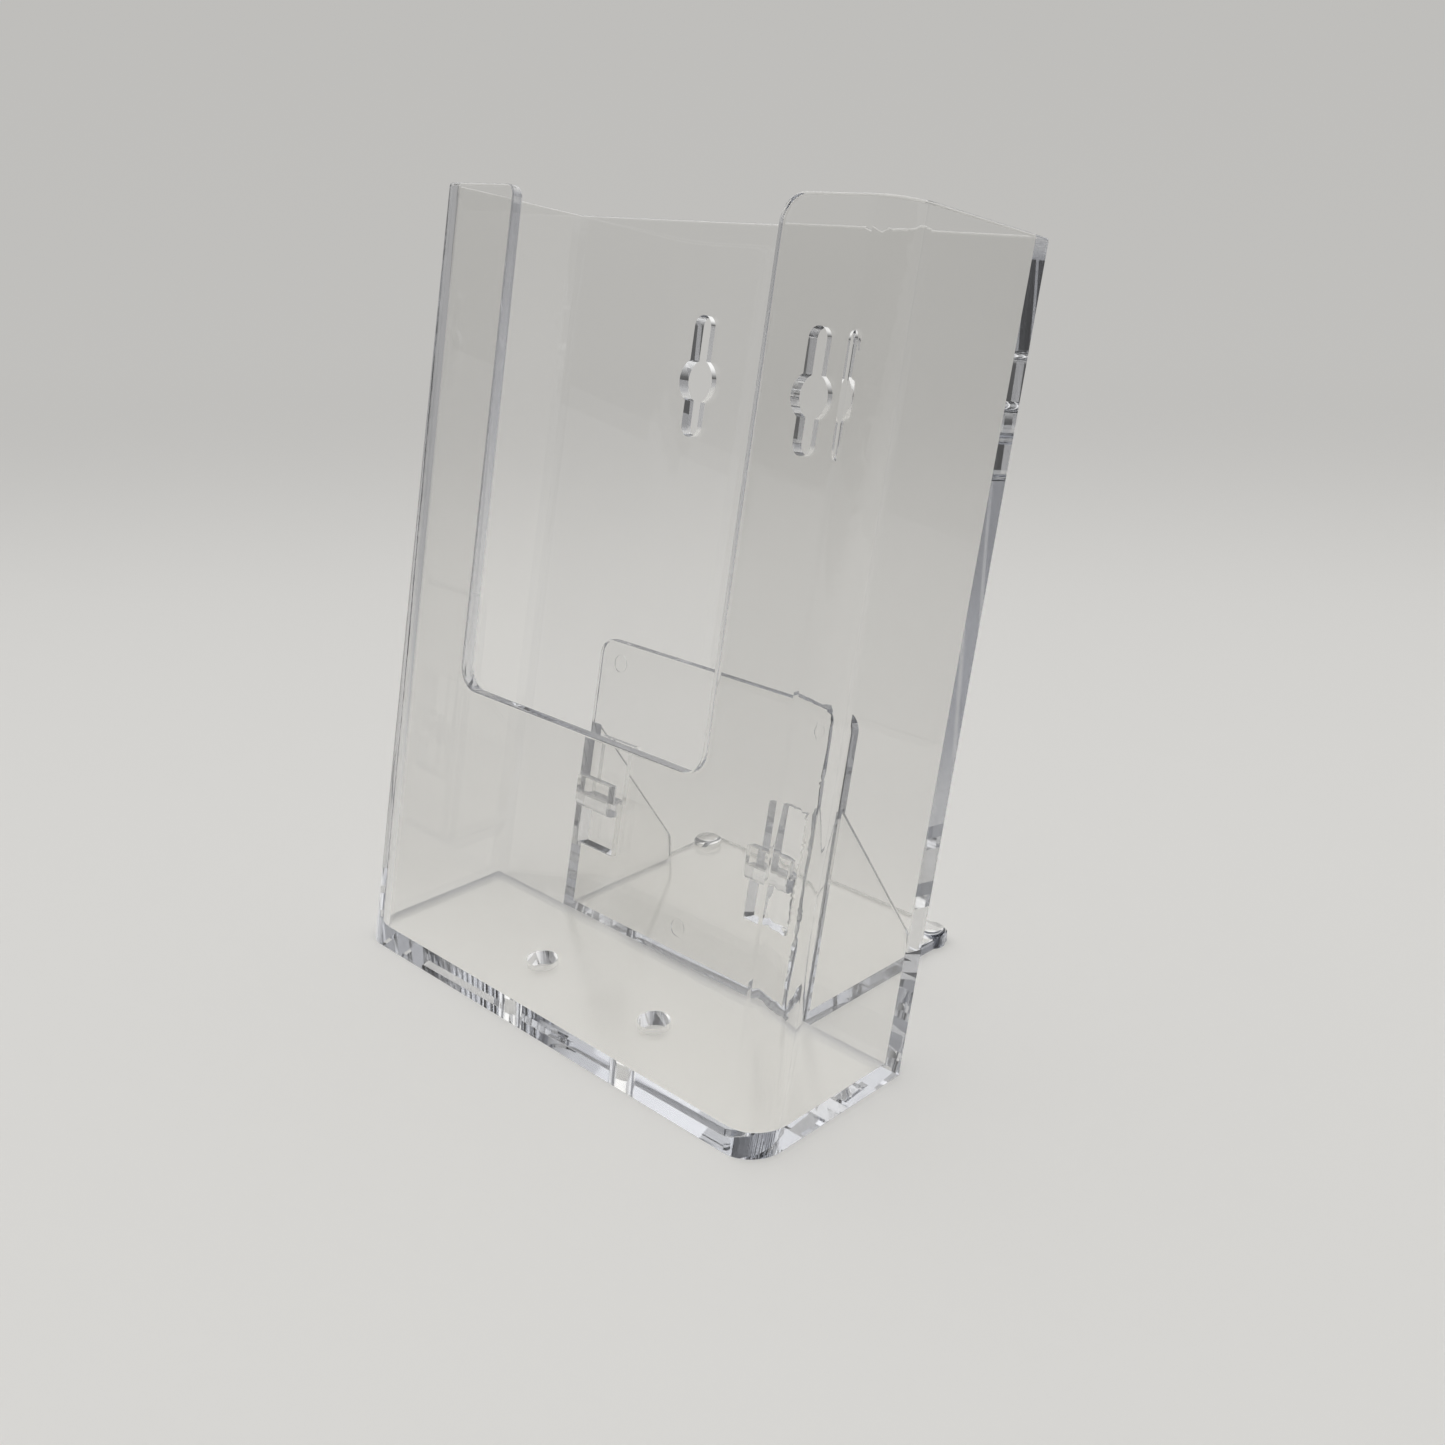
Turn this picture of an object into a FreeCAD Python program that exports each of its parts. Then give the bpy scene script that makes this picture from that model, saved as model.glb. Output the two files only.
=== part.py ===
"""Clear moulded leaflet holder: a leaning pocket and the easel foot that hooks onto its back.

Both pieces are drawn in one leaning frame. Its origin is the lower rear edge of the pocket, its X runs
across the holder, its Z climbs the pocket's back and its Y points out of that back. Each body's placement
then leans it back, so that the pocket's base and the easel's floor plate lie on the table.
"""
import FreeCAD, Part
import os
import re

import Sketcher

# Driving dimensions, in millimetres and degrees.
DIMENSIONS = {
    # The pocket's outer shape.
    "lean_angle": 12.0,
    "pocket_width": 110.0,
    "pocket_depth": 35.7,
    "back_length": 139.5,
    "front_corner": 6.5,
    # Its walls taper on the inside only, so that the core can be drawn out of the mould.
    "wall_rim": 2.2,
    "wall_foot": 3.0,
    "base_thickness": 3.0,
    "rim_round": 0.4,
    # The U-shaped cut-out in the front, measured up the slope from the front's lower edge.
    "cutout_half_width": 31.7,
    "cutout_low": 57.4,
    "cutout_lower_corner": 4.3,
    "cutout_right_corner": 4.5,
    "cutout_left_corner": 2.0,
    # The keyholes, measured up the slope of the back.
    "keyhole_half_spacing": 14.6,
    "keyhole_head": 8.5,
    "keyhole_slot": 4.2,
    "keyhole_head_height": 110.8,
    "keyhole_low": 100.5,
    "keyhole_high": 122.8,
    # The slots for the easel's hooks.
    "hook_slot_inner": 18.4,
    "hook_slot_outer": 28.7,
    "hook_slot_low": 16.5,
    "hook_slot_high": 27.2,
    # The holes in the base, measured along the table.
    "base_hole": 6.0,
    "base_hole_half_spacing": 15.8,
    "base_hole_setback": 19.6,
    # The easel's leaning plate.
    "easel_gap": 0.15,
    "easel_half_width": 32.3,
    "easel_thickness": 2.2,
    "easel_length": 58.5,
    "easel_corner": 3.3,
    # Its floor plate and gussets, measured along and above the table.
    "floor_plate_start": 1.2,
    "floor_plate_reach": 45.0,
    "floor_plate_thickness": 2.2,
    "floor_plate_corner": 2.0,
    "gusset_thickness": 2.1,
    "gusset_reach": 30.5,
    "gusset_heel": 7.6,
    "gusset_top_reach": 9.6,
    "gusset_top": 41.0,
    "gusset_heel_corner": 5.0,
    "boss_diameter": 6.0,
    "boss_height": 3.4,
    "boss_inset": 30.0,
    "boss_reach": 41.2,
    "boss_round": 1.0,
    "easel_round": 0.4,
    # The hooks, and the windows that the mould's cores leave behind their tongues.
    "hook_inner": 18.9,
    "hook_outer": 28.2,
    "hook_root_low": 24.5,
    "hook_root_high": 27.0,
    "hook_tip": 31.0,
    "hook_clearance": 0.35,
    "tongue_thickness": 2.0,
    "tongue_round": 1.6,
    "window_high": 38.9,
    # Ejector-pin marks on the easel plate.
    "ejector_mark": 3.5,
    "ejector_depth": 0.2,
    "ejector_side": 27.0,
    "ejector_high": 54.0,
    "ejector_low": 7.5,
    # Cutters run past what they cut by this much.
    "overrun": 5.0,
}

# Derived lengths that several features share, written as expressions on the cells above.
DERIVED = {
    "front_drop": "pocket_depth * tan(lean_angle)",
    "depth_on_table": "pocket_depth / cos(lean_angle)",
    "tongue_front": "-(wall_foot + hook_clearance + tongue_thickness)",
    "window_low": "hook_root_high",
}

RIGHT = FreeCAD.Vector(1, 0, 0)
UP = FreeCAD.Vector(0, 0, 1)

doc = FreeCAD.newDocument("leaflet_holder")
sheet = doc.addObject("Spreadsheet::Sheet", "Sizes")


def fill_sheet():
    """Write each driving dimension, then each derived one, in a row of its own with its name as alias."""
    row = 1
    for name, value in DIMENSIONS.items():
        sheet.set(f"A{row}", name)
        sheet.set(f"B{row}", str(value))
        sheet.setAlias(f"B{row}", name)
        row += 1
    doc.recompute()
    for name, formula in DERIVED.items():
        sheet.set(f"A{row}", name)
        sheet.set(f"B{row}", f"={formula}")
        sheet.setAlias(f"B{row}", name)
        row += 1
    doc.recompute()


def sized(formula):
    """Point each cell name in a formula at the sheet, so that any object of the document can use it."""
    def with_sheet(word):
        return f"Sizes.{word[0]}" if sheet.getCellFromAlias(word[0]) else word[0]
    return re.sub(r"[a-z_]+", with_sheet, formula)


def value_of(formula):
    return float(sheet.evalExpression(sized(formula)))


# Sketches.

def new_body(name, base_y):
    """Make a body in the leaning frame, with that frame's origin at base_y along the table."""
    body = doc.addObject("PartDesign::Body", name)
    body.Label = name
    body.Placement = FreeCAD.Placement(FreeCAD.Vector(), FreeCAD.Rotation(RIGHT, -value_of("lean_angle")))
    body.setExpression("Placement.Base.y", sized(base_y))
    body.setExpression("Placement.Rotation.Angle", sized("-lean_angle"))
    return body


def new_sketch(body, name, plane, offset="0", turn_axis=UP, turn="0"):
    """Attach a sketch to an origin plane of the body, offset along its normal and turned about turn_axis."""
    sketch = body.newObject("Sketcher::SketchObject", name)
    support = next(item for item in body.Origin.OriginFeatures if item.Role == plane)
    sketch.AttachmentSupport = [(support, "")]
    sketch.MapMode = "FlatFace"
    sketch.AttachmentOffset = FreeCAD.Placement(FreeCAD.Vector(), FreeCAD.Rotation(turn_axis, 1))
    sketch.setExpression("AttachmentOffset.Base.z", sized(offset))
    sketch.setExpression("AttachmentOffset.Rotation.Angle", sized(turn))
    return sketch


def side_sketch(body, name, offset="0"):
    """A sketch seen from the holder's right, with its axes along and square to the table."""
    return new_sketch(body, name, "YZ_Plane", offset, UP, "lean_angle")


def table_sketch(body, name):
    """A sketch on the table, seen from above."""
    return new_sketch(body, name, "XY_Plane", "0", RIGHT, "lean_angle")


def pin_point(sketch, geometry, position, x, y):
    """Hold a point of a sketch at (x, y), each a formula on the sheet."""
    for kind, formula in (("DistanceX", x), ("DistanceY", y)):
        origin = (-1, 1)
        index = sketch.addConstraint(
            Sketcher.Constraint(kind, *origin, geometry, position, value_of(formula)))
        sketch.setExpression(f"Constraints[{index}]", sized(formula))


def add_polygon(sketch, corners):
    """Draw a closed outline through corners, each a pair of formulas."""
    points = [FreeCAD.Vector(value_of(x), value_of(y), 0) for x, y in corners]
    first = sketch.GeometryCount
    count = len(points)
    for index, point in enumerate(points):
        sketch.addGeometry(Part.LineSegment(point, points[(index + 1) % count]))
    for index, (x, y) in enumerate(corners):
        before = first + (index - 1) % count
        sketch.addConstraint(Sketcher.Constraint("Coincident", before, 2, first + index, 1))
        pin_point(sketch, first + index, 1, x, y)


def add_rectangle(sketch, left, right, low, high):
    add_polygon(sketch, [(left, low), (right, low), (right, high), (left, high)])


def add_circle(sketch, x, y, diameter):
    centre = FreeCAD.Vector(value_of(x), value_of(y), 0)
    circle = sketch.addGeometry(Part.Circle(centre, UP, value_of(diameter) / 2))
    pin_point(sketch, circle, 3, x, y)
    index = sketch.addConstraint(Sketcher.Constraint("Diameter", circle, value_of(diameter)))
    sketch.setExpression(f"Constraints[{index}]", sized(diameter))


# Features. Each returns the feature, recomputed, after checking that it changed the body's volume.

def make_feature(body, kind, name, sketch, length, symmetric=False, reverse=False, taper="0"):
    before = body.Tip.Shape.Volume if body.Tip else 0
    feature = body.newObject(f"PartDesign::{kind}", name)
    feature.Profile = sketch
    feature.SideType = "Symmetric" if symmetric else "One side"
    feature.Reversed = reverse
    feature.setExpression("Length", sized(length))
    feature.setExpression("TaperAngle", sized(taper))
    doc.recompute()
    change = feature.Shape.Volume - before
    if change * (1 if kind == "Pad" else -1) < 0.01:
        raise ValueError(f"{body.Label} {name} changed nothing")
    return feature


def add_material(body, name, sketch, length, **options):
    return make_feature(body, "Pad", name, sketch, length, **options)


def cut_material(body, name, sketch, length, **options):
    return make_feature(body, "Pocket", name, sketch, length, **options)


def round_edges(body, name, radius, points):
    """Round the edge nearest to each point, given as three formulas in the body's own frame."""
    base = body.Tip
    edges = base.Shape.Edges
    chosen = []
    for point in points:
        spot = Part.Vertex(*[value_of(formula) for formula in point])
        nearest = min(range(len(edges)), key=lambda index: edges[index].distToShape(spot)[0])
        chosen.append(f"Edge{nearest + 1}")
    fillet = body.newObject("PartDesign::Fillet", name)
    fillet.Base = (base, chosen)
    fillet.setExpression("Radius", sized(radius))
    doc.recompute()
    if fillet.Shape.isNull() or not fillet.Shape.isValid():
        raise ValueError(f"{body.Label} {name} can't be rounded")


def trim_below_table(body, name):
    """Cut away everything that reaches below the table."""
    sketch = side_sketch(body, f"{name}_sketch")
    add_rectangle(sketch, "-depth_on_table - overrun", "floor_plate_reach + overrun",
                  "-front_drop - overrun", "0")
    cut_material(body, name, sketch, "pocket_width + overrun", symmetric=True)


# The pocket.

def make_pocket(base_y):
    body = new_body("pocket", base_y)
    add_outer_block(body)
    cut_cavity(body)
    trim_below_table(body, "table_cut")
    add_base(body)
    cut_front_opening(body)
    soften_rim(body)
    cut_back_openings(body)
    cut_base_holes(body)
    return body


def add_outer_block(body):
    """The four outer faces, parallel to the lean, from below the table up to the rim."""
    outline = new_sketch(body, "outline", "XY_Plane", "-front_drop")
    add_rectangle(outline, "-pocket_width / 2", "pocket_width / 2", "-pocket_depth", "0")
    add_material(body, "outer_block", outline, "back_length + front_drop")
    round_edges(body, "front_corners", "front_corner",
                [(f"{side} * pocket_width / 2", "-pocket_depth", "back_length / 2") for side in (-1, 1)])


def cut_cavity(body):
    """The tapered space between the walls. Its front corners are rounded, as the outer ones are."""
    mouth = new_sketch(body, "mouth", "XY_Plane", "back_length")
    half_width = "pocket_width / 2 - wall_rim"
    add_rectangle(mouth, f"-({half_width})", half_width, "-pocket_depth + wall_rim", "-wall_rim")
    cut_material(body, "cavity", mouth, "back_length + front_drop + overrun",
                 taper="-atan((wall_foot - wall_rim) / back_length)")
    round_edges(body, "cavity_corners", "front_corner - wall_rim",
                [(f"{side} * ({half_width})", "-pocket_depth + wall_rim", "back_length / 2")
                 for side in (-1, 1)])


def add_base(body):
    """The base lies flat on the table and reaches into the four walls."""
    profile = side_sketch(body, "base_profile")
    rise = "base_thickness * tan(lean_angle)"
    rear = "-wall_rim / cos(lean_angle)"
    front = "-(pocket_depth - wall_rim) / cos(lean_angle)"
    add_polygon(profile, [(front, "0"), (rear, "0"),
                          (f"{rear} + {rise}", "base_thickness"), (f"{front} + {rise}", "base_thickness")])
    add_material(body, "base", profile, "pocket_width - 2 * wall_rim", symmetric=True)


def cut_front_opening(body):
    """The U-shaped cut-out that shows the leaflets and lets a thumb in."""
    opening = new_sketch(body, "opening", "XZ_Plane", "pocket_depth")
    low = "cutout_low - front_drop"
    add_rectangle(opening, "-cutout_half_width", "cutout_half_width", low, "back_length + overrun")
    cut_material(body, "front_opening", opening, "2 * (wall_foot + overrun)", symmetric=True)
    for name, sides, height in (("lower", (-1, 1), low),
                                ("right", (1,), "back_length"),
                                ("left", (-1,), "back_length")):
        round_edges(body, f"opening_{name}_corners", f"cutout_{name}_corner",
                    [(f"{side} * cutout_half_width", "-pocket_depth + wall_rim / 2", height) for side in sides])


def soften_rim(body):
    """Take the sharpness off the rim and the cut-out. Each loop's front part is one smooth chain of edges."""
    low = "cutout_low - front_drop"
    round_edges(body, "rim_rounds", "rim_round",
                [("0", "-pocket_depth", low), ("0", "-pocket_depth + wall_foot", low),
                 ("0", "0", "back_length"), ("0", "-wall_rim", "back_length")])


def cut_back_openings(body):
    """Two keyholes for wall screws, and below them the two slots that the easel's hooks pass through."""
    heads = new_sketch(body, "keyhole_heads_sketch", "XZ_Plane")
    necks = new_sketch(body, "keyhole_necks_sketch", "XZ_Plane")
    neck_ends = new_sketch(body, "keyhole_neck_ends_sketch", "XZ_Plane")
    hook_slots = new_sketch(body, "hook_slots_sketch", "XZ_Plane")
    for side in (-1, 1):
        x = f"{side} * keyhole_half_spacing"
        low = "keyhole_low + keyhole_slot / 2"
        high = "keyhole_high - keyhole_slot / 2"
        add_circle(heads, x, "keyhole_head_height", "keyhole_head")
        add_rectangle(necks, f"{x} - keyhole_slot / 2", f"{x} + keyhole_slot / 2", low, high)
        for height in (low, high):
            add_circle(neck_ends, x, height, "keyhole_slot")
        add_rectangle(hook_slots, f"{side} * hook_slot_inner", f"{side} * hook_slot_outer",
                      "hook_slot_low", "hook_slot_high")
    for name, sketch in (("keyhole_heads", heads), ("keyhole_necks", necks),
                         ("keyhole_neck_ends", neck_ends), ("hook_slots", hook_slots)):
        cut_material(body, name, sketch, "2 * (wall_foot + overrun)", symmetric=True)


def cut_base_holes(body):
    holes = table_sketch(body, "base_holes_sketch")
    for side in (-1, 1):
        add_circle(holes, f"{side} * base_hole_half_spacing", "-base_hole_setback", "base_hole")
    cut_material(body, "base_holes", holes, "2 * (base_thickness + overrun)", symmetric=True)


# The easel.

def make_easel(base_y):
    body = new_body("easel", base_y)
    add_plate(body)
    add_floor_plate(body)
    for side, name in ((-1, "left"), (1, "right")):
        add_gusset(body, side, name)
        add_hook(body, side, name)
    add_bosses(body)
    cut_plate_openings(body)
    trim_below_table(body, "table_cut")
    return body


def add_plate(body):
    """The plate that lies along the pocket's back."""
    plate = new_sketch(body, "plate_sketch", "XZ_Plane", "-easel_gap")
    add_rectangle(plate, "-easel_half_width", "easel_half_width", "0", "easel_length")
    add_material(body, "plate", plate, "easel_thickness", reverse=True)
    middle = "easel_gap + easel_thickness / 2"
    round_edges(body, "plate_corners", "easel_corner",
                [(f"{side} * easel_half_width", middle, "easel_length") for side in (-1, 1)])
    round_edges(body, "plate_rounds", "easel_round",
                [("0", "easel_gap", "easel_length"), ("0", "easel_gap + easel_thickness", "easel_length")])


def add_floor_plate(body):
    profile = side_sketch(body, "floor_plate_sketch")
    add_rectangle(profile, "floor_plate_start", "floor_plate_reach", "0", "floor_plate_thickness")
    add_material(body, "floor_plate", profile, "2 * easel_half_width", symmetric=True)
    reach = "floor_plate_reach"
    thickness = "floor_plate_thickness / 2"
    round_edges(body, "floor_plate_corners", "floor_plate_corner",
                [(f"{side} * easel_half_width", along(reach, thickness), above(reach, thickness))
                 for side in (-1, 1)])
    top = "floor_plate_thickness"
    round_edges(body, "floor_plate_round", "easel_round", [("0", along(reach, top), above(reach, top))])


def along(reach, height):
    """The leaning frame's Y of a point given along and above the table."""
    return f"({reach}) * cos(lean_angle) - ({height}) * sin(lean_angle)"


def above(reach, height):
    """The leaning frame's Z of a point given along and above the table."""
    return f"({reach}) * sin(lean_angle) + ({height}) * cos(lean_angle)"


def gusset_x(side):
    """Where a gusset's lower-X face stands: flush with the plate's edge on the left, inside it on the right."""
    return "-easel_half_width" if side < 0 else "easel_half_width - gusset_thickness"


def add_gusset(body, side, name):
    """A triangular web between the plate and the floor plate, with a short upright heel."""
    profile = side_sketch(body, f"{name}_gusset_sketch", gusset_x(side))
    inside_floor = "floor_plate_thickness / 2"
    inside_plate = "gusset_top * tan(lean_angle) + easel_thickness / 2"
    add_polygon(profile, [("floor_plate_start", inside_floor), ("gusset_reach", inside_floor),
                          ("gusset_reach", "gusset_heel"), ("gusset_top_reach", "gusset_top"),
                          (inside_plate, "gusset_top")])
    add_material(body, f"{name}_gusset", profile, "gusset_thickness")
    middle = f"{gusset_x(side)} + gusset_thickness / 2"
    round_edges(body, f"{name}_heel_corner", "gusset_heel_corner",
                [(middle, along("gusset_reach", "gusset_heel"), above("gusset_reach", "gusset_heel"))])
    slope = ("(gusset_reach + gusset_top_reach) / 2", "(gusset_heel + gusset_top) / 2")
    faces = (gusset_x(side), f"{gusset_x(side)} + gusset_thickness")
    round_edges(body, f"{name}_gusset_rounds", "easel_round",
                [(face, along(*slope), above(*slope)) for face in faces])


def add_hook(body, side, name):
    """A root that passes through the pocket's slot, and a tongue that stands up in front of its back."""
    start = "hook_inner" if side > 0 else "-hook_outer"
    profile = new_sketch(body, f"{name}_hook_sketch", "YZ_Plane", start)
    tongue_rear = "tongue_front + tongue_thickness"
    add_polygon(profile, [("easel_gap + easel_thickness / 2", "hook_root_low"),
                          ("tongue_front", "hook_root_low"), ("tongue_front", "hook_tip"),
                          (tongue_rear, "hook_tip"), (tongue_rear, "hook_root_high"),
                          ("easel_gap + easel_thickness / 2", "hook_root_high")])
    add_material(body, f"{name}_hook", profile, "hook_outer - hook_inner")
    middle = f"{side} * (hook_inner + hook_outer) / 2"
    round_edges(body, f"{name}_tongue_round", "tongue_round",
                [(middle, "tongue_front", "hook_root_low")])


def add_bosses(body):
    """Round pads at the floor plate's rear corners."""
    circles = table_sketch(body, "bosses_sketch")
    for side in (-1, 1):
        add_circle(circles, f"{side} * boss_inset", "boss_reach", "boss_diameter")
    add_material(body, "bosses", circles, "boss_height")
    reach = "boss_reach + boss_diameter / 2"
    round_edges(body, "boss_tops", "boss_round",
                [(f"{side} * boss_inset", along(reach, "boss_height"), above(reach, "boss_height"))
                 for side in (-1, 1)])


def cut_plate_openings(body):
    """Windows above the hooks' roots, and the shallow marks of three ejector pins."""
    windows = new_sketch(body, "windows_sketch", "XZ_Plane", "-easel_gap - easel_thickness / 2")
    marks = new_sketch(body, "marks_sketch", "XZ_Plane", "-easel_gap - easel_thickness")
    for side in (-1, 1):
        add_rectangle(windows, f"{side} * hook_inner", f"{side} * hook_outer", "window_low", "window_high")
        add_circle(marks, f"{side} * ejector_side", "ejector_high", "ejector_mark")
    add_circle(marks, "0", "ejector_low", "ejector_mark")
    cut_material(body, "windows", windows, "easel_thickness + 2 * hook_clearance", symmetric=True)
    cut_material(body, "ejector_marks", marks, "2 * ejector_depth", symmetric=True)


# The holder.

def check_objects():
    """Stop if any object of the document failed to build, or a body isn't one valid solid."""
    for item in doc.Objects:
        if "Invalid" in item.State or "Error" in item.State:
            raise ValueError(f"{item.Name} is in state {item.State}")
    for body in bodies:
        shape = body.Shape
        if shape.isNull() or not shape.isValid() or len(shape.Solids) != 1:
            raise ValueError(f"{body.Label} isn't one valid solid")


fill_sheet()
centred = "(depth_on_table - floor_plate_reach) / 2"
bodies = [make_pocket(centred), make_easel(centred)]
doc.recompute()
check_objects()

os.makedirs("parts", exist_ok=True)
for body in bodies:
    body.Shape.exportStep(f"parts/{body.Label}.step")
    box = body.Shape.BoundBox
    print(f"{body.Label}: {body.Shape.Volume:.0f} mm3, x {box.XMin:.2f}..{box.XMax:.2f}, "
          f"y {box.YMin:.2f}..{box.YMax:.2f}, z {box.ZMin:.2f}..{box.ZMax:.2f}")
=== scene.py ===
"""Studio scene of a clear moulded leaflet holder: a leaning pocket hooked onto its easel foot."""
import math

import bpy
from mathutils import Matrix, Vector

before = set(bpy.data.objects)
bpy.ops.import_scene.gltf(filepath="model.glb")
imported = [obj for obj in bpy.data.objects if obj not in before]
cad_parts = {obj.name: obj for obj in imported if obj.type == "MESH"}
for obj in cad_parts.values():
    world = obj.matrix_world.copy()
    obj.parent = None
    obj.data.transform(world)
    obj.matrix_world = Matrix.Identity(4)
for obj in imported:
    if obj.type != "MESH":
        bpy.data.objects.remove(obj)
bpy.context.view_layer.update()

# The camera, in metres and degrees: in front of the holder and to its right, looking down at it.
CAMERA_PLACE = Vector((0.19284, -0.18451, 0.15105))
CAMERA_AZIMUTH = 44.99
CAMERA_ELEVATION = 20.88
CAMERA_ROLL = 0.368
CAMERA_LENS = 38.18
CAMERA_CLIP = 0.01

# The sheet: level under the holder, then bent up into a low wall behind it, seen from the camera.
SHEET_NEAR = 0.27
SHEET_RADIUS = 1.5
SHEET_BEND = 0.35
SHEET_HEIGHT = 0.235
SHEET_STEPS = 24
STAGE_SIDES = 160

# The table: a disc that lies on the sheet, just below the holder.
TABLE_RADIUS = 0.16
TABLE_DROP = 0.00002
SHEET_DROP = 0.000025

# The paper: its colour, its glow where it stands up, and how high up that glow is complete.
PAPER_COLOUR = (0.80, 0.79, 0.765, 1)
PAPER_ROUGHNESS = 0.9
PAPER_GLOW = 0.64
PAPER_FADE = 0.06
BLACK = (0, 0, 0, 1)

# Painted reflections for mirrored light: far from the holder the paper is painted a dimmer grey, a painted
# room shade, and its mirror image is painted dark, ending at the table's rim.
PAINTED_ROOM_SHADE_COLOUR = (0.57, 0.57, 0.58, 1)
PAINTED_ROOM_SHADE_NEAR = 0.10
PAINTED_ROOM_SHADE_FAR = 0.45
# The painted dark reflection: the near-black colour that the paper's mirror image is painted, and where it
# starts.
PAINTED_DARK_REFLECTION_COLOUR = (0.08, 0.08, 0.08, 1)
PAINTED_DARK_REFLECTION_NEAR = 0.05

# The light: how bright each direction is, by the cosine of its angle to the window's middle.
WINDOW_DIRECTION = Vector((-0.25, 0.25, 0.93))
WINDOW_TONES = [(0.0, 0.05), (0.2, 0.10), (0.45, 0.40), (0.65, 0.66), (0.85, 0.72), (0.95, 0.90)]
WINDOW_STRENGTH = 1.5

# The plastic: its tint and refraction, and how much light each piece takes up per metre.
PLASTIC_TINT = (0.985, 0.982, 0.972, 1)
PLASTIC_IOR = 1.59
ABSORPTION_COLOUR = (0.80, 0.81, 0.84, 1)
POCKET_ABSORPTION = 14
EASEL_ABSORPTION = 45

# Haze and scratches: the scale of each noise, the part of its range that shows, and how rough it gets there.
HAZE_SCALE = 45
HAZE_DETAIL = 4
HAZE_RANGE = (0.45, 0.8)
HAZE_ROUGHNESS = 0.02
SCRATCH_TURN = (0, math.radians(4), 0)
SCRATCH_STRETCH = (1600, 1600, 35)
SCRATCH_DETAIL = 2
SCRATCH_RANGE = (0.72, 0.78)
SCRATCH_ROUGHNESS = 0.12

# The ripple of a moulded wall.
RIPPLE_SCALE = 25
RIPPLE_DETAIL = 1
RIPPLE_STRENGTH = 0.12
RIPPLE_DEPTH = 0.0003

# The pocket's floor: what faces up within this distance of this height, and how rough it has been worn.
FLOOR_LEVEL = 0.0035
FLOOR_MARGIN = 0.0025
FLOOR_FACING = 0.9
FLOOR_SCUFF = 0.2

# Light crosses many clear surfaces, so it gets many bounces.
LIGHT_BOUNCES = 64


def make_camera():
    camera_data = bpy.data.cameras.new("camera")
    camera_data.lens = CAMERA_LENS
    camera_data.clip_start = CAMERA_CLIP
    camera = bpy.data.objects.new("camera", camera_data)
    azimuth = math.radians(CAMERA_AZIMUTH)
    elevation = math.radians(CAMERA_ELEVATION)
    roll = math.radians(CAMERA_ROLL)
    forward = Vector((-math.sin(azimuth) * math.cos(elevation),
                      math.cos(azimuth) * math.cos(elevation),
                      -math.sin(elevation)))
    level = Vector((math.cos(azimuth), math.sin(azimuth), 0))
    upright = level.cross(forward)
    right = level * math.cos(roll) - upright * math.sin(roll)
    up = right.cross(forward)
    turn = Matrix((right, up, -forward)).transposed().to_4x4()
    camera.matrix_world = Matrix.Translation(CAMERA_PLACE) @ turn
    bpy.context.collection.objects.link(camera)
    bpy.context.scene.camera = camera


def fill_inputs(tree, node, inputs):
    """Link the inputs that are given as sockets, and set the others."""
    for key, value in inputs.items():
        if isinstance(value, bpy.types.NodeSocket):
            tree.links.new(value, node.inputs[key])
        else:
            node.inputs[key].default_value = value


def add_node(tree, kind, inputs, **settings):
    node = tree.nodes.new(kind)
    for name, value in settings.items():
        setattr(node, name, value)
    fill_inputs(tree, node, inputs)
    return node


def add_math(tree, operation, *values):
    return add_node(tree, "ShaderNodeMath", dict(enumerate(values)), operation=operation).outputs["Value"]


def add_noise(tree, vector, scale, detail):
    noise = add_node(tree, "ShaderNodeTexNoise", {"Vector": vector, "Scale": scale, "Detail": detail})
    return noise.outputs["Fac"]


def add_range(tree, value, low, high, top=1.0, shape="LINEAR"):
    """0 up to `low`, rising to `top` at `high`."""
    inputs = {"Value": value, "From Min": low, "From Max": high, "To Max": top}
    return add_node(tree, "ShaderNodeMapRange", inputs, interpolation_type=shape).outputs["Result"]


def add_blend(tree, factor, first, second):
    inputs = {"Factor": factor, "A": first, "B": second}
    return add_node(tree, "ShaderNodeMix", inputs, data_type="RGBA").outputs["Result"]


def height_of(tree, vector):
    return add_node(tree, "ShaderNodeSeparateXYZ", {"Vector": vector}).outputs["Z"]


def new_material(name):
    material = bpy.data.materials.new(name)
    material.use_nodes = True
    return material, material.node_tree, material.node_tree.nodes["Principled BSDF"]


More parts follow.
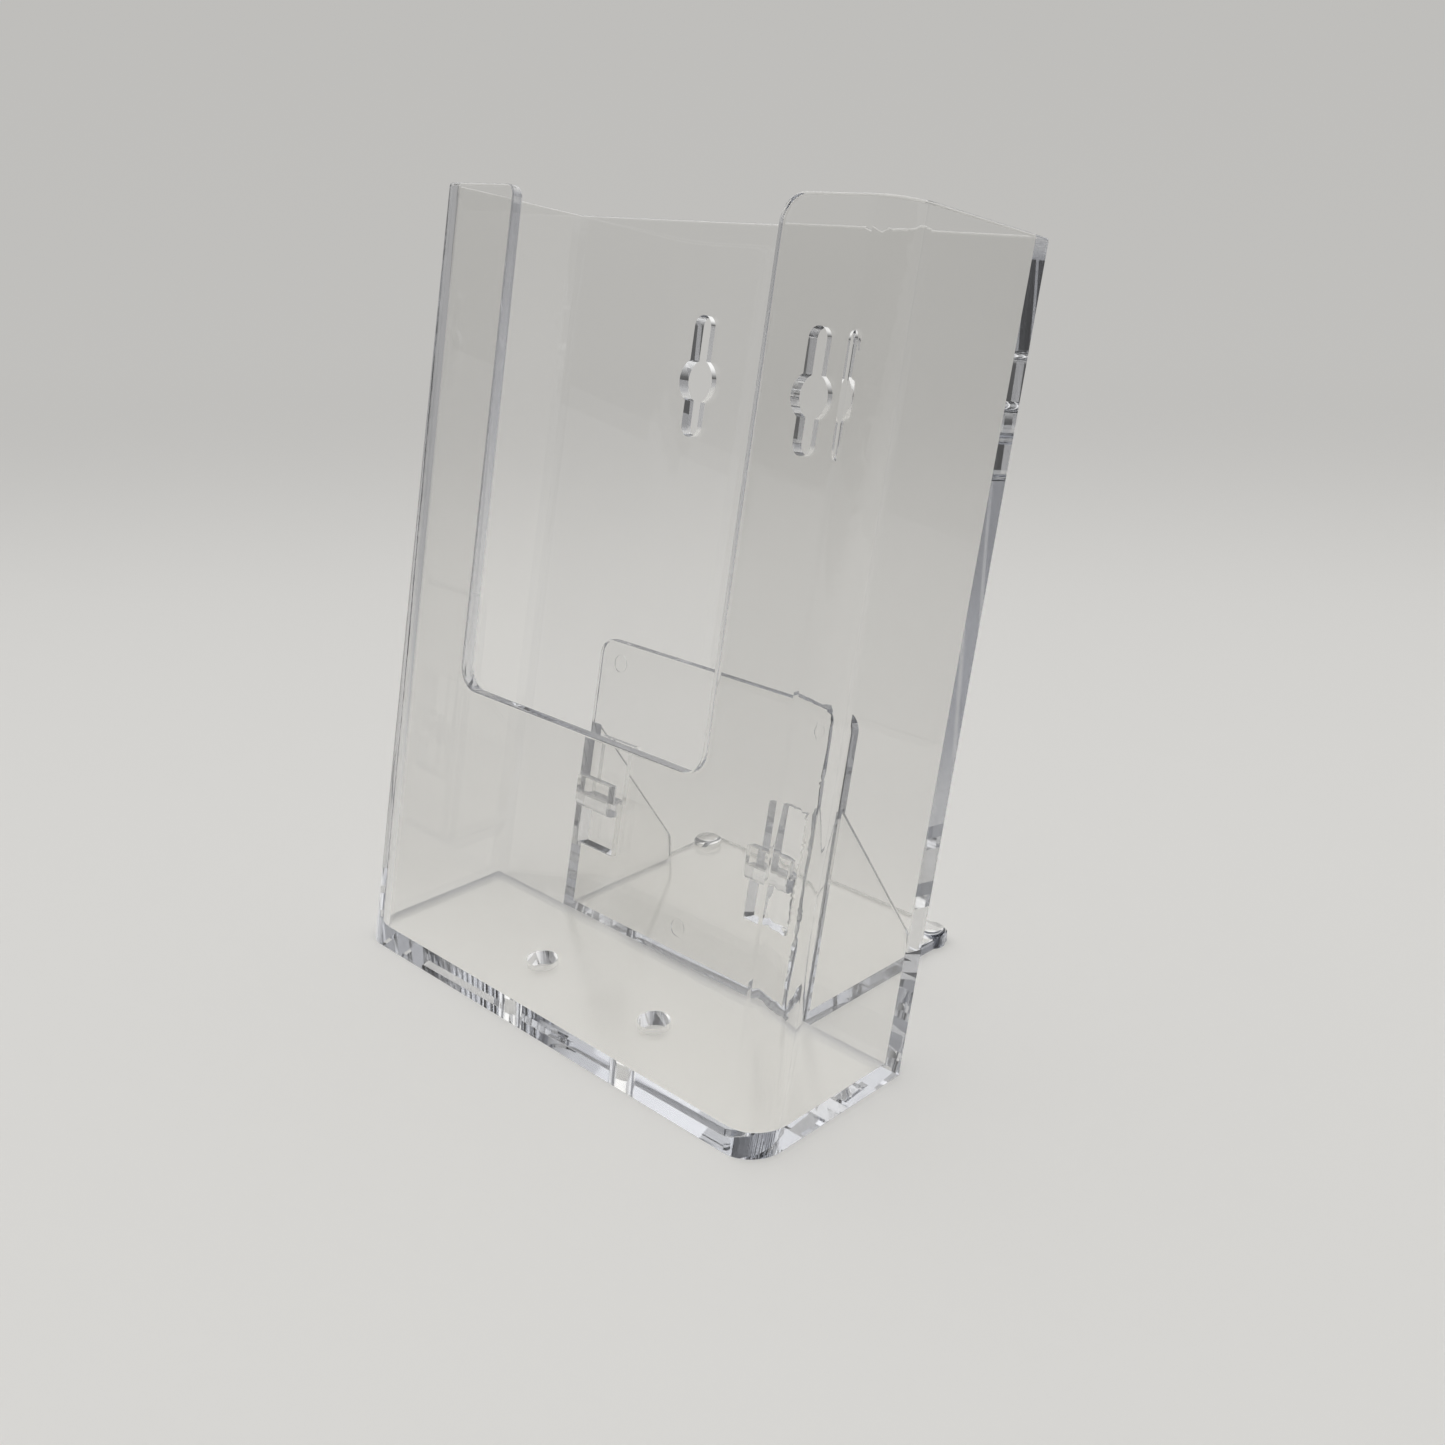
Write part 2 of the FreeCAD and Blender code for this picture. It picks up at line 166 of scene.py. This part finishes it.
def make_clear_plastic(name, absorbed, floor_scuff):
    """Clear polystyrene. It greys in long paths, and has the slight ripple that a moulded wall has, a haze
    from handling, and hairline scratches from the leaflets that slide in and out. The floor is scuffed where
    the leaflets stand on it."""
    material, tree, shader = new_material(name)
    place = add_node(tree, "ShaderNodeTexCoord", {})
    here = place.outputs["Object"]

    haze = add_noise(tree, here, HAZE_SCALE, HAZE_DETAIL)
    hazy = add_range(tree, haze, *HAZE_RANGE, HAZE_ROUGHNESS)
    lengthwise = add_node(tree, "ShaderNodeMapping",
                          {"Vector": here, "Rotation": SCRATCH_TURN, "Scale": SCRATCH_STRETCH})
    scratch = add_noise(tree, lengthwise.outputs["Vector"], 1, SCRATCH_DETAIL)
    scratched = add_range(tree, scratch, *SCRATCH_RANGE, SCRATCH_ROUGHNESS)

    low = add_math(tree, "COMPARE", height_of(tree, here), FLOOR_LEVEL, FLOOR_MARGIN)
    level = add_math(tree, "GREATER_THAN", height_of(tree, place.outputs["Normal"]), FLOOR_FACING)
    floor = add_math(tree, "MULTIPLY", low, level)
    scuffed = add_math(tree, "MULTIPLY", floor, floor_scuff)
    worn = add_math(tree, "ADD", hazy, scratched)
    roughness = add_math(tree, "ADD", worn, scuffed)

    ripple = add_noise(tree, here, RIPPLE_SCALE, RIPPLE_DETAIL)
    bump = add_node(tree, "ShaderNodeBump",
                    {"Height": ripple, "Strength": RIPPLE_STRENGTH, "Distance": RIPPLE_DEPTH})
    fill_inputs(tree, shader, {"Base Color": PLASTIC_TINT, "IOR": PLASTIC_IOR, "Transmission Weight": 1.0,
                               "Roughness": roughness, "Normal": bump.outputs["Normal"]})
    absorption = add_node(tree, "ShaderNodeVolumeAbsorption",
                          {"Color": ABSORPTION_COLOUR, "Density": absorbed})
    fill_inputs(tree, tree.nodes["Material Output"], {"Volume": absorption.outputs["Volume"]})
    return material


def make_paper():
    """Pale backdrop paper. Where it stands up it is lit from behind, to one even tone all round. Where light
    has been mirrored in the plastic, the paper far from the holder is painted a dimmer grey, a painted shade
    of a dim room. In reflection rays the paper's mirror image is painted dark towards the table's rim, a
    painted dark reflection."""
    material, tree, shader = new_material("pale_paper")
    here = add_node(tree, "ShaderNodeTexCoord", {}).outputs["Object"]
    distance = add_node(tree, "ShaderNodeVectorMath", {0: here}, operation="LENGTH").outputs["Value"]
    path = add_node(tree, "ShaderNodeLightPath", {})

    # Painted reflection: in mirrored light the paper is painted a dimmer grey far from its middle, a painted
    # room shade.
    far = add_range(tree, distance, PAINTED_ROOM_SHADE_NEAR, PAINTED_ROOM_SHADE_FAR, shape="SMOOTHSTEP")
    mirrored = add_math(tree, "MINIMUM", path.outputs["Glossy Depth"], 1)
    tone = add_blend(tree, add_math(tree, "MULTIPLY", far, mirrored), PAPER_COLOUR, PAINTED_ROOM_SHADE_COLOUR)
    # Painted dark reflection: in reflection rays the paper is painted near black, from near its middle out
    # to the table's rim.
    rim = add_range(tree, distance, PAINTED_DARK_REFLECTION_NEAR, TABLE_RADIUS, shape="SMOOTHSTEP")
    painted_dark_reflection_mask = add_math(tree, "MULTIPLY", rim, path.outputs["Is Reflection Ray"])
    paper = add_blend(tree, painted_dark_reflection_mask, tone, PAINTED_DARK_REFLECTION_COLOUR)

    standing = add_range(tree, height_of(tree, here), 0, PAPER_FADE, shape="SMOOTHSTEP")
    fill_inputs(tree, shader, {"Roughness": PAPER_ROUGHNESS,
                               "Base Color": add_blend(tree, standing, paper, BLACK),
                               "Emission Color": paper,
                               "Emission Strength": add_math(tree, "MULTIPLY", standing, PAPER_GLOW)})
    return material


def add_stage(name, rings, middle, material):
    """A surface of revolution through (radius, height) rings about a point of the floor, with its middle
    closed."""
    vertices = []
    faces = []
    for radius, height in rings:
        for side in range(STAGE_SIDES):
            turn = 2 * math.pi * side / STAGE_SIDES
            vertices.append((middle.x + radius * math.cos(turn), middle.y + radius * math.sin(turn), height))
    for ring in range(len(rings) - 1):
        for side in range(STAGE_SIDES):
            after = (side + 1) % STAGE_SIDES
            faces.append((ring * STAGE_SIDES + side, ring * STAGE_SIDES + after,
                          (ring + 1) * STAGE_SIDES + after, (ring + 1) * STAGE_SIDES + side))
    faces.append(tuple(reversed(range(STAGE_SIDES))))
    mesh = bpy.data.meshes.new(name)
    mesh.from_pydata(vertices, [], faces)
    mesh.shade_smooth()
    mesh.materials.append(material)
    stage = bpy.data.objects.new(name, mesh)
    bpy.context.collection.objects.link(stage)
    return stage


def make_backdrop():
    """A table top, and round it the sheet that bends up into a low wall. The plastic mirrors the table and,
    past its end, the room, but not the sheet."""
    paper = make_paper()
    add_stage("table", [(TABLE_RADIUS, -TABLE_DROP)], Vector((0, 0, 0)), paper)

    steepest = math.acos(1 - SHEET_HEIGHT / SHEET_BEND)
    rings = [(SHEET_RADIUS / 2, -SHEET_DROP)]
    for step in range(SHEET_STEPS + 1):
        angle = steepest * step / SHEET_STEPS
        rings.append((SHEET_RADIUS + SHEET_BEND * math.sin(angle),
                      SHEET_BEND * (1 - math.cos(angle)) - SHEET_DROP))
    azimuth = math.radians(CAMERA_AZIMUTH)
    away = Vector((-math.sin(azimuth), math.cos(azimuth), 0))
    sheet = add_stage("sheet", rings, away * (SHEET_NEAR - SHEET_RADIUS), paper)
    sheet.visible_glossy = False


def make_world():
    """A room with a large bright window high behind the holder and dim walls in front of it. Seen straight
    or through the plastic, with no mirroring, it is as pale as the backdrop."""
    world = bpy.data.worlds.new("world")
    bpy.context.scene.world = world
    world.use_nodes = True
    tree = world.node_tree
    direction = add_node(tree, "ShaderNodeTexCoord", {}).outputs["Generated"]
    towards = add_node(tree, "ShaderNodeVectorMath", {0: direction, 1: WINDOW_DIRECTION.normalized()},
                       operation="DOT_PRODUCT").outputs["Value"]
    tones = add_node(tree, "ShaderNodeValToRGB", {"Fac": towards})
    for position, tone in WINDOW_TONES:
        element = tones.color_ramp.elements.new(position)
        element.color = (tone, tone, tone, 1)
    tones.color_ramp.elements.remove(tones.color_ramp.elements[0])
    tones.color_ramp.elements.remove(tones.color_ramp.elements[-1])
    light = tree.nodes["Background"]
    fill_inputs(tree, light, {"Color": tones.outputs["Color"], "Strength": WINDOW_STRENGTH})

    backdrop = add_node(tree, "ShaderNodeBackground",
                        {"Color": [channel * PAPER_GLOW for channel in PAPER_COLOUR]})
    path = add_node(tree, "ShaderNodeLightPath", {})
    bounced = add_math(tree, "ADD", path.outputs["Glossy Depth"], path.outputs["Diffuse Depth"])
    unbounced = add_math(tree, "LESS_THAN", bounced, 0.5)
    mix = add_node(tree, "ShaderNodeMixShader", {"Fac": unbounced, 1: light.outputs["Background"],
                                                 2: backdrop.outputs["Background"]})
    fill_inputs(tree, tree.nodes["World Output"], {"Surface": mix.outputs["Shader"]})


def set_light_paths(scene):
    """Standard tones, and enough bounces. With no glossy blur, light reaches the floor under the plastic."""
    scene.view_settings.view_transform = "Standard"
    scene.cycles.max_bounces = LIGHT_BOUNCES
    scene.cycles.transmission_bounces = LIGHT_BOUNCES
    scene.cycles.glossy_bounces = LIGHT_BOUNCES
    scene.cycles.blur_glossy = 0


make_camera()
make_backdrop()
make_world()
set_light_paths(bpy.context.scene)
plastics = {"pocket": make_clear_plastic("clear_pocket_plastic", POCKET_ABSORPTION, FLOOR_SCUFF),
            "easel": make_clear_plastic("clear_easel_plastic", EASEL_ABSORPTION, 0)}
for node, plastic in plastics.items():
    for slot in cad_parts[node].material_slots:
        slot.material = plastic
